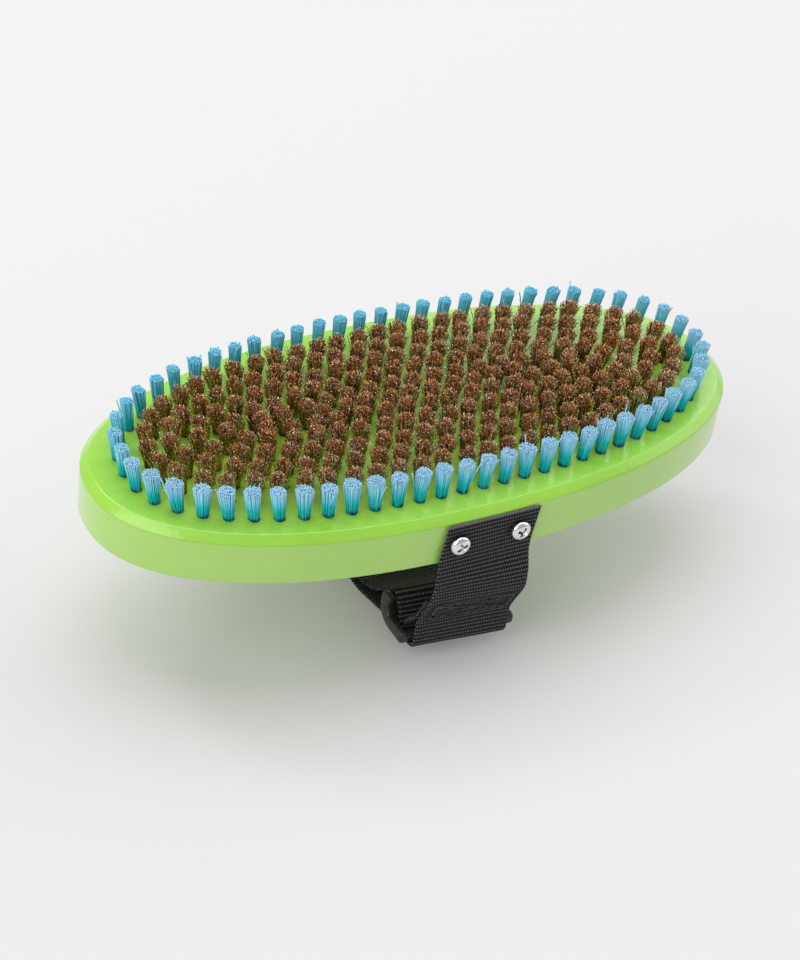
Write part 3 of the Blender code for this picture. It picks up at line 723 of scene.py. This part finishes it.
def bronze_group(node_name, tufts, seed, finish):
    """Crimped wires: each zigzags along its length, in its own direction."""
    random = np.random.default_rng(seed)
    form = {
        "top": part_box("brush_board")[1].z,
        "height": BRONZE_HEIGHT,
        "root": BRONZE_ROOT_RADIUS,
        "tip": BRONZE_TIP_RADIUS,
        "flare": 1.9,
        "dome": 0.22,
        "unevenness": 0.03,
        "drift": 0.07,
        "stray": 0.04,
        "steps": CRIMP_STEPS,
        "count": BRONZE_WIRES,
    }
    groups = []
    for x, y in tufts:
        fan = math.tan(BRONZE_FAN * (x - RING_CENTRE_X) / FIELD_HALF_LENGTH)
        lean = (fan + random.normal(0, 0.05), random.normal(0, 0.05))
        lines = strand_lines((x, y), lean, form, random)
        heading = random.uniform(0, 2 * math.pi, BRONZE_WIRES)
        zigzag = CRIMP * np.where(np.arange(CRIMP_STEPS + 1) % 2, 1.0, -1.0)
        zigzag = zigzag * np.linspace(0.5, 1.6, CRIMP_STEPS + 1)
        zigzag = zigzag[None] * random.uniform(0.6, 1.3, (BRONZE_WIRES, CRIMP_STEPS + 1))
        lines[:, :, 0] += zigzag * np.cos(heading)[:, None]
        lines[:, :, 1] += zigzag * np.sin(heading)[:, None]
        groups.append(lines)
    tuft_group(node_name, "wires", groups, BRONZE_WIRE_RADIUS, 3, random, finish)


def make_bronze(finish, rings, row):
    for number, ring in enumerate(rings, 1):
        arcs = ring_arcs(ring, len(BRONZE_ARCS), 0.5)
        for k, (side, tufts) in enumerate(zip(BRONZE_ARCS, arcs)):
            bronze_group(f"bronze_ring_{number}_{side}", tufts, 100 + 10 * number + k, finish)
    bronze_group("bronze_middle_row", row, 100, finish)


def make_nylon(finish, ring):
    """Straight filaments; the tufts on the near side spread wider than those on the far side."""
    form = {
        "top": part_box("brush_board")[1].z,
        "height": NYLON_HEIGHT,
        "root": NYLON_ROOT_RADIUS,
        "flare": 1.2,
        "dome": 0.03,
        "unevenness": 0.018,
        "drift": 0.03,
        "stray": 0.025,
        "steps": NYLON_STEPS,
        "count": NYLON_FILAMENTS,
    }
    for number, tufts in enumerate(ring_arcs(ring, RING_ARCS), 1):
        random = np.random.default_rng(200 + number)
        groups = []
        for x, y in tufts:
            near = clamp(0.5 - y / RING_HALF_WIDTH)
            form["tip"] = NYLON_TIP_FAR + (NYLON_TIP_NEAR - NYLON_TIP_FAR) * near
            fan = math.tan(NYLON_FAN * (x - RING_CENTRE_X) / RING_HALF_LENGTH)
            lean = (fan + random.normal(0, 0.025), random.normal(0, 0.02))
            groups.append(strand_lines((x, y), lean, form, random))
        node_name = f"nylon_arc_{number:02d}"
        tuft_group(node_name, "filaments", groups, NYLON_FILAMENT_RADIUS, 4, random, finish)


# ------------------------------------------------------------------ webbing

def band_section(width, thickness, columns):
    """Half-round-edged cross-section of a band: offsets across and through, anticlockwise."""
    radius = thickness / 2
    edge = width / 2 - radius
    flat = np.linspace(-edge, edge, columns + 1)
    turn = np.linspace(-math.pi / 2, math.pi / 2, 7)[1:-1]
    level = np.full(columns + 1, radius)
    across = [flat, edge + radius * np.cos(turn), flat[::-1], -edge - radius * np.cos(turn)]
    through = [-level, radius * np.sin(turn), level, -radius * np.sin(turn)]
    return np.concatenate(across), np.concatenate(through)


def webbing(name, corners, finish, columns=48, dents=(), share=None):
    """Woven band along a path in the YZ plane: ribs across it, scalloped edges, pressed-in dents."""
    path, along, run = resample(fillet(corners), RIB_PITCH / RIB_STEPS)
    across, through = band_section(STRAP_WIDTH, STRAP_THICKNESS - RIB_HEIGHT, columns)
    half = STRAP_THICKNESS / 2
    side = np.sign(through) * np.minimum(1.0, np.abs(through) / (half - RIB_HEIGHT / 2))
    rib = np.cos(math.pi * run / RIB_PITCH) ** 2
    lift = np.where(side[None] > 0, rib[:, None], 1 - rib[:, None]) * RIB_HEIGHT
    wave = WAVE_HEIGHT * np.sin(run / (5.3 * MM))[:, None] * np.sin(across / (6.1 * MM))[None]
    offset = through[None] + side[None] * (lift - RIB_HEIGHT / 2) + wave
    edge = clamp((np.abs(across) - STRAP_WIDTH / 2 + SELVEDGE_WIDTH) / SELVEDGE_WIDTH) * np.sign(across)
    x = STRAP_X + across[None] + edge[None] * (SELVEDGE_SCALLOP * rib[:, None] - SELVEDGE_PULL)
    normal = np.column_stack([-along[:, 1], along[:, 0]])
    rings = np.empty((len(run), len(across), 3))
    rings[:, :, 0] = x
    rings[:, :, 1] = path[:, None, 0] + normal[:, None, 0] * offset
    rings[:, :, 2] = np.maximum(0.0, path[:, None, 1] + normal[:, None, 1] * offset)
    for dent in dents:
        dent(rings)
    if share:
        hang_askew(rings, share(rings))
    mesh = rings_mesh(name, rings[:, ::-1])
    uv = mesh.uv_layers.new(name=WEAVE_MAP)
    corner = np.empty(len(mesh.loops), np.int32)
    mesh.loops.foreach_get("vertex_index", corner)
    flat_across = np.broadcast_to(across[::-1][None], rings.shape[:2]).ravel()
    flat_run = np.broadcast_to(run[:, None], rings.shape[:2]).ravel()
    places = np.column_stack([flat_across[corner], flat_run[corner]])
    uv.data.foreach_set("uv", places.astype(np.float32).ravel())
    mesh.shade_smooth()
    return link(name, mesh, finish)


def twist_share(rings):
    """None at the wall and full from the foot of the near webbing's twist down."""
    return clamp((TWIST_TOP - rings[..., 2]) / (TWIST_TOP - TWIST_FOOT))


def run_share(rings):
    """Full at the buckle, easing to none along the run."""
    return clamp((SKEW_NONE_Y - rings[..., 1]) / (SKEW_NONE_Y - SKEW_FULL_Y))


def lean_end(rings):
    """Shifts the near webbing's screwed end along the board."""
    rings[..., 0] += LEAN_SLOPE * np.maximum(0.0, rings[..., 2] - LEAN_ABOVE)


def screw_places():
    return (STRAP_X - SCREW_SPACING / 2, STRAP_X + SCREW_SPACING / 2)


def screw_dent(side, screw_z):
    """Presses the webbing's outer face in round the screw heads on one wall."""
    def dent(rings):
        outer = np.abs(rings[:, :, 1]) > WALL_Y
        for x in screw_places():
            distance = np.hypot(rings[:, :, 0] - x, rings[:, :, 2] - screw_z)
            near = np.exp(-((distance / SCREW_DENT_REACH) ** 4)) * outer * (rings[:, :, 2] > HINGE_Z)
            rings[:, :, 1] -= side * SCREW_DENT_DEPTH * near
    return dent


def stitch_frame():
    """Top of the stitched box, its direction down the strap, its outward direction and its height."""
    top = Vector(LOOP_SLOPE[0]).lerp(Vector(LOOP_SLOPE[1]), STITCH_TOP)
    foot = Vector(LOOP_SLOPE[0]).lerp(Vector(LOOP_SLOPE[1]), STITCH_FOOT)
    down = (foot - top).normalized()
    return top, down, Vector((down.y, -down.x)), (foot - top).length


def stitch_lines():
    """The box and cross of the stitching, as pairs of points (across, down) in its own plane."""
    half, height = STRAP_WIDTH / 2 - STITCH_BORDER, stitch_frame()[3]
    a, b, c, d = (-half, 0.0), (half, 0.0), (half, height), (-half, height)
    return [(a, b), (b, c), (c, d), (d, a), (a, c), (b, d)]


def stitch_dent(rings):
    """Draws the webbing in along the lines of stitching, on the outer layer and the folded one."""
    top, down, out = stitch_frame()[:3]
    y, z = rings[:, :, 1] - top.x, rings[:, :, 2] - top.y
    place = np.stack([rings[:, :, 0] - STRAP_X, y * down.x + z * down.y], axis=-1)
    rise = y * out.x + z * out.y
    depth = np.zeros(rings.shape[:2])
    for first, last in stitch_lines():
        first, last = np.array(first), np.array(last)
        span = last - first
        share = np.clip(((place - first) @ span) / (span @ span), 0, 1)
        distance = np.linalg.norm(place - first - share[..., None] * span, axis=-1)
        depth = np.maximum(depth, np.exp(-((distance / STITCH_DENT_REACH) ** 2)))
    outer = (rise > 0) & (rise < LAYER_REACH)
    inner = (rise > -FOLD_REACH) & (rise < -FOLD_DEPTH)
    push = STITCH_DENT_DEPTH * depth * (inner.astype(float) - outer.astype(float))
    rings[:, :, 1] += push * out.x
    rings[:, :, 2] += push * out.y


def make_near_webbing(finish, screw_z):
    """Screwed to the near wall, round the buckle's first bar and back up, doubled."""
    bar_y, bar_z = LOOP_BAR
    turn = LOOP_BAR_RADIUS + LOOP_CLEARANCE + STRAP_THICKNESS / 2
    corners = [
        (-WALL_Y, STRAP_TOP),
        (-WALL_Y, HINGE_Z, 20 * MM),
        (*NEAR_BOW, 14 * MM),
        (*LOOP_SLOPE[0], 10 * MM),
        (*LOOP_SLOPE[1], 8 * MM),
        (bar_y - turn, bar_z - turn, turn),
        (bar_y + turn, bar_z - turn, turn),
        (bar_y + turn, FOLD_HEEL_Z, 3 * MM),
        (*FOLD_SLOPE[0], 3 * MM),
        FOLD_SLOPE[1],
    ]
    dents = (lean_end, screw_dent(-1, screw_z), stitch_dent)
    piece = webbing("near_webbing", corners, finish, 64, dents, twist_share)
    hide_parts("near_strap_anchor", "near_strap_loop")
    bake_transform(piece)


def far_seam():
    """Where the two far pieces meet, on the straight stretch above the corner, and the way down it."""
    down = (Vector(FAR_SLOPE[1]) - Vector(FAR_SLOPE[0])).normalized()
    return Vector(CORNER_HINGE) - down * SEAM_ABOVE_CORNER, down


def make_far_webbing(finish, screw_z):
    """Screwed to the far wall and down towards the far lower corner."""
    seam = far_seam()[0]
    corners = [
        (WALL_Y, FAR_STRAP_TOP),
        (WALL_Y, HINGE_Z, 20 * MM),
        (*FAR_BOW, 14 * MM),
        (*FAR_SLOPE[0], 14 * MM),
        tuple(seam),
    ]
    piece = webbing("far_webbing", corners, finish, 48, (screw_dent(1, screw_z),))
    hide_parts("far_strap_anchor", "far_strap_drop")
    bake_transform(piece)


def make_lower_webbing(finish):
    """Round the far corner, along the bottom, round the buckle's middle bar and back as a free tail."""
    seam, down = far_seam()
    bar_y = WRAP_BAR[0]
    turn = WRAP_BAR_RADIUS + WRAP_CLEARANCE + STRAP_THICKNESS / 2
    corners = [
        tuple(seam),
        (*FAR_SLOPE[1], 9 * MM),
        (RUN_LIFT_Y, STRAP_THICKNESS / 2, 25 * MM),
        (*RUN_END, 30 * MM),
        (bar_y - turn, WRAP_FOOT_Z, turn),
        (bar_y - turn, WRAP_HEAD_Z, turn),
        (*TAIL_CREST, 2.3 * MM),
        (*TAIL_FOOT, 25 * MM),
        TAIL_END,
    ]
    piece = webbing("lower_webbing", corners, finish, share=run_share)
    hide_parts("strap_run", "strap_tail")
    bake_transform(piece)


def stitch_line(first, last, rise, sign):
    """One stitch's centre line: it dips into the webbing at both ends."""
    top, down, out = stitch_frame()[:3]
    line = []
    for t in np.linspace(0, 1, 7):
        spot = first.lerp(last, t)
        bulge = math.sin(math.pi * t) ** 0.6 if 0 < t < 1 else 0.0
        place = top + down * spot.y + out * (rise + sign * THREAD_RADIUS * bulge)
        line.append((STRAP_X + spot.x, place.x, place.y))
    return line


def make_stitching(finish):
    """Single stitches along the box and cross, on the outer layer and behind the folded one."""
    outer = STRAP_THICKNESS / 2 - THREAD_SINK
    layers = ((outer, 1), (-FOLD_DEPTH - outer, -1))
    lines = []
    for rise, sign in layers:
        for first, last in stitch_lines():
            first, last = Vector(first), Vector(last)
            length = (last - first).length
            count = max(1, int(length // (STITCH_LENGTH + STITCH_GAP)))
            gap = STITCH_GAP / length / 2
            for k in range(count):
                ends = (first.lerp(last, k / count + gap), first.lerp(last, (k + 1) / count - gap))
                lines.append(stitch_line(*ends, rise, sign))
    lines = np.array(lines)
    hang_askew(lines)
    radius = THREAD_RADIUS * (0.55 + 0.45 * np.sin(np.linspace(0, math.pi, lines.shape[1])))
    out = stitch_frame()[2]
    across = (0.0, out.x, out.y)
    mesh = tubes("box_stitches", lines, np.broadcast_to(radius, lines.shape[:2]), 8, across)
    piece = link("box_stitches", mesh, finish)
    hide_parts("strap_stitching")
    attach(piece, "near_loop")


# ------------------------------------------------------------------ buckle and screws

def rounded_section(width, height, radius, steps=5):
    """A rectangle with round corners: offsets across and through, anticlockwise."""
    points = []
    for k, (sx, sy) in enumerate(((1, 1), (-1, 1), (-1, -1), (1, -1))):
        for i in range(steps + 1):
            turn = math.pi / 2 * (k + i / steps)
            x = sx * (width / 2 - radius) + radius * math.cos(turn)
            y = sy * (height / 2 - radius) + radius * math.sin(turn)
            points.append((x, y))
    return np.array(points)


def rail_mesh(name, centre_x):
    """A curved side rail, thicker in the middle of its height, with rounded ends."""
    corners = [RAIL_START, (*RAIL_HEEL, RAIL_BEND), RAIL_TOP]
    path, along, run = resample(fillet(corners), 0.35 * MM)
    normal = np.column_stack([-along[:, 1], along[:, 0]])
    section = rounded_section(RAIL_THICKNESS, RAIL_HEIGHT, RAIL_ROUNDING)
    end = np.minimum(run, run[-1] - run)
    taper = np.sqrt(1 - (1 - np.clip(end / RAIL_END, 0.02, 1)) ** 2)
    rings = np.empty((len(run), len(section), 3))
    rings[:, :, 0] = centre_x + section[None, :, 0] * (0.4 + 0.6 * taper[:, None])
    rings[:, :, 1] = path[:, None, 0] + normal[:, None, 0] * section[None, :, 1] * taper[:, None]
    rings[:, :, 2] = path[:, None, 1] + normal[:, None, 1] * section[None, :, 1] * taper[:, None]
    return rings_mesh(name, rings[:, ::-1])


def make_buckle(finish):
    """Two curved rails joined by the loop bar, the wrap bar and the raised lip."""
    buckle = link("ladder_lock", rail_mesh("ladder_lock", STRAP_X - RAIL_X), finish)
    cut(buckle, rail_mesh("rail", STRAP_X + RAIL_X), "UNION")
    bars = ((LOOP_BAR, LOOP_BAR_RADIUS), (WRAP_BAR, WRAP_BAR_RADIUS), (LIP_BAR, LIP_BAR_RADIUS))
    for (y, z), radius in bars:
        line = np.array([[(STRAP_X - RAIL_X, y, z), (STRAP_X, y, z), (STRAP_X + RAIL_X, y, z)]])
        cut(buckle, tubes("bar", line, np.full((1, 3), radius), 32, (0.0, 0.0, 1.0)), "UNION")
    turn = Matrix(((1, 0, 0, 0), (-SKEW, 1, 0, STRAP_X * SKEW), (0, 0, 1, 0), (0, 0, 0, 1)))
    buckle.data.transform(turn)
    buckle.data.shade_smooth()
    buckle.data.set_sharp_from_angle(angle=math.radians(40))
    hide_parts("ladder_lock_buckle")
    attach(buckle, "sling")


def lathe(name, profile, sides):
    """A turned solid on the Z axis from a profile of (radius, z) that starts and ends near the axis."""
    turn = 2 * math.pi * np.arange(sides) / sides
    rings = np.empty((len(profile), sides, 3))
    rings[:, :, 0] = profile[:, :1] * np.cos(turn)
    rings[:, :, 1] = profile[:, :1] * np.sin(turn)
    rings[:, :, 2] = profile[:, 1:]
    return rings_mesh(name, rings)


def screw_profile():
    """Shank point, shank, flat seat, short wall and a domed top."""
    dome = [
        (AXIS_GAP, -SCREW_LENGTH),
        (SCREW_SHANK_RADIUS, -SCREW_LENGTH + SCREW_POINT),
        (SCREW_SHANK_RADIUS, 0.0),
        (SCREW_HEAD_RADIUS - SCREW_EDGE, 0.0),
        (SCREW_HEAD_RADIUS, SCREW_EDGE),
    ]
    for t in np.linspace(0.0, 1.0, 14)[:-1]:
        radius = SCREW_HEAD_RADIUS * math.cos(t * math.pi / 2) ** 0.55
        height = SCREW_HEAD_HEIGHT * (0.28 + 0.72 * math.sin(t * math.pi / 2))
        dome.append((radius, height))
    dome.append((AXIS_GAP, SCREW_HEAD_HEIGHT))
    return np.array(dome)


def recess_mesh():
    """The tapered cross recess, as a cutter."""
    rings = []
    for length, width, z in (RECESS_FLOOR, RECESS_MOUTH):
        ring = []
        for k in range(4):
            c, s = math.cos(math.pi / 2 * k), math.sin(math.pi / 2 * k)
            for x, y in ((length, -width), (length, width), (width, width)):
                ring.append((x * c - y * s, x * s + y * c, z))
        rings.append(ring)
    return rings_mesh("recess", np.array(rings))


def make_screws(finish, screw_z):
    for side, side_name in ((-1, "near"), (1, "far")):
        for x, end_name, spin in zip(screw_places(), ("left", "right"), SCREW_SPINS):
            name = f"pan_screw_{side_name}_{end_name}"
            screw = link(name, lathe(name, screw_profile(), 48), finish)
            cut(screw, recess_mesh())
            turn = Matrix.Rotation(-side * math.pi / 2, 4, "X") @ Matrix.Rotation(spin, 4, "Z")
            screw.data.transform(Matrix.Translation((x, side * SCREW_SEAT_Y, screw_z)) @ turn)
            screw.data.shade_smooth()
            screw.data.set_sharp_from_angle(angle=math.radians(38))
            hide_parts(f"screw_{side_name}_{end_name}")
            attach(screw, "root")


# ------------------------------------------------------------------ studio

def make_camera():
    back = Vector(
        (
            math.sin(CAMERA_AZIMUTH) * math.cos(CAMERA_ELEVATION),
            -math.cos(CAMERA_AZIMUTH) * math.cos(CAMERA_ELEVATION),
            math.sin(CAMERA_ELEVATION),
        )
    )
    camera = bpy.data.objects.new("camera", bpy.data.cameras.new("camera"))
    bpy.context.scene.collection.objects.link(camera)
    camera.data.lens = CAMERA_LENS
    camera.data.clip_start, camera.data.clip_end = 0.01, 20.0
    camera.location = CAMERA_AIM + back * CAMERA_DISTANCE
    camera.rotation_mode = "QUATERNION"
    roll = Quaternion((0, 0, 1), CAMERA_ROLL)
    camera.rotation_quaternion = (-back).to_track_quat("-Z", "Y") @ roll
    bpy.context.scene.camera = camera


def soft_light(name, place, size, power, aim=(0.0, 0.0, 0.05)):
    light = bpy.data.lights.new(name, "AREA")
    light.shape, light.size, light.energy = "DISK", size, power
    lamp = bpy.data.objects.new(name, light)
    bpy.context.scene.collection.objects.link(lamp)
    lamp.location = place
    lamp.rotation_mode = "QUATERNION"
    lamp.rotation_quaternion = (Vector(aim) - Vector(place)).to_track_quat("-Z", "Y")


def wide_light(name, direction, spread_angle, strength):
    """A very soft lamp from far away, which lights the floor evenly."""
    light = bpy.data.lights.new(name, "SUN")
    light.energy, light.angle = strength, math.radians(spread_angle)
    lamp = bpy.data.objects.new(name, light)
    bpy.context.scene.collection.objects.link(lamp)
    lamp.rotation_mode = "QUATERNION"
    lamp.rotation_quaternion = (-Vector(direction)).to_track_quat("-Z", "Y")


def make_studio():
    """A pale floor, a white world, wide light from both sides and above, and one lamp for highlights."""
    mesh = mesh_of("floor", [(-4, -4, 0), (4, -4, 0), (4, 4, 0), (-4, 4, 0)], [(0, 1, 2, 3)])
    floor = bpy.data.objects.new("floor", mesh)
    bpy.context.scene.collection.objects.link(floor)
    constants = {
        "Base Color": (0.53, 0.53, 0.53, 1.0),
        "Roughness": 0.9,
        "Specular IOR Level": 0.0,
        "Emission Color": (1.0, 1.0, 1.0, 1.0),
        "Emission Strength": 0.12,
    }
    mesh.materials.append(principled("paper", constants)[0])
    world = bpy.data.worlds.new("studio")
    world.use_nodes = True
    world.node_tree.nodes["Background"].inputs["Color"].default_value = (1.0, 1.0, 1.0, 1.0)
    world.node_tree.nodes["Background"].inputs["Strength"].default_value = 0.5
    bpy.context.scene.world = world
    wide_light("left", (-1.0, -0.25, 0.7), 50.0, 1.35)
    wide_light("right", (1.0, 0.1, 0.7), 60.0, 0.85)
    wide_light("above", (0.0, 0.3, 1.0), 50.0, 1.35)
    soft_light("glint", (-0.5, 0.7, 0.9), 0.3, 2.0)
    soft_light("sheen", (0.85, 0.80, 0.75), 0.6, 1.3)
    bpy.context.scene.view_settings.view_transform = "Standard"


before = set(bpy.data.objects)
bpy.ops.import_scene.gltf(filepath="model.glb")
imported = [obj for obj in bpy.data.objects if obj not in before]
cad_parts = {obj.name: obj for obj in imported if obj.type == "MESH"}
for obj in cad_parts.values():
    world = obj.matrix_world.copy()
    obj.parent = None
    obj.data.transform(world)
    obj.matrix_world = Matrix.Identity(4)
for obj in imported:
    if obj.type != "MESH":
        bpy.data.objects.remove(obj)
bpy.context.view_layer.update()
make_camera()
make_studio()

bronze_places = bronze_rings()
row_places = middle_row()
nylon_places = nylon_ring()
screw_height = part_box("brush_board")[1].z - SCREW_BELOW_TOP
make_board(lacquer_finish(), np.concatenate(bronze_places + [row_places]), nylon_places)
make_bronze(bronze_finish(), bronze_places, row_places)
make_nylon(nylon_finish(), nylon_places)

webbing_black = webbing_finish()
make_near_webbing(webbing_black, screw_height)
make_far_webbing(webbing_black, screw_height)
make_lower_webbing(webbing_black)
make_stitching(thread_finish())
make_buckle(moulding_finish())
make_screws(chrome_finish(), screw_height)
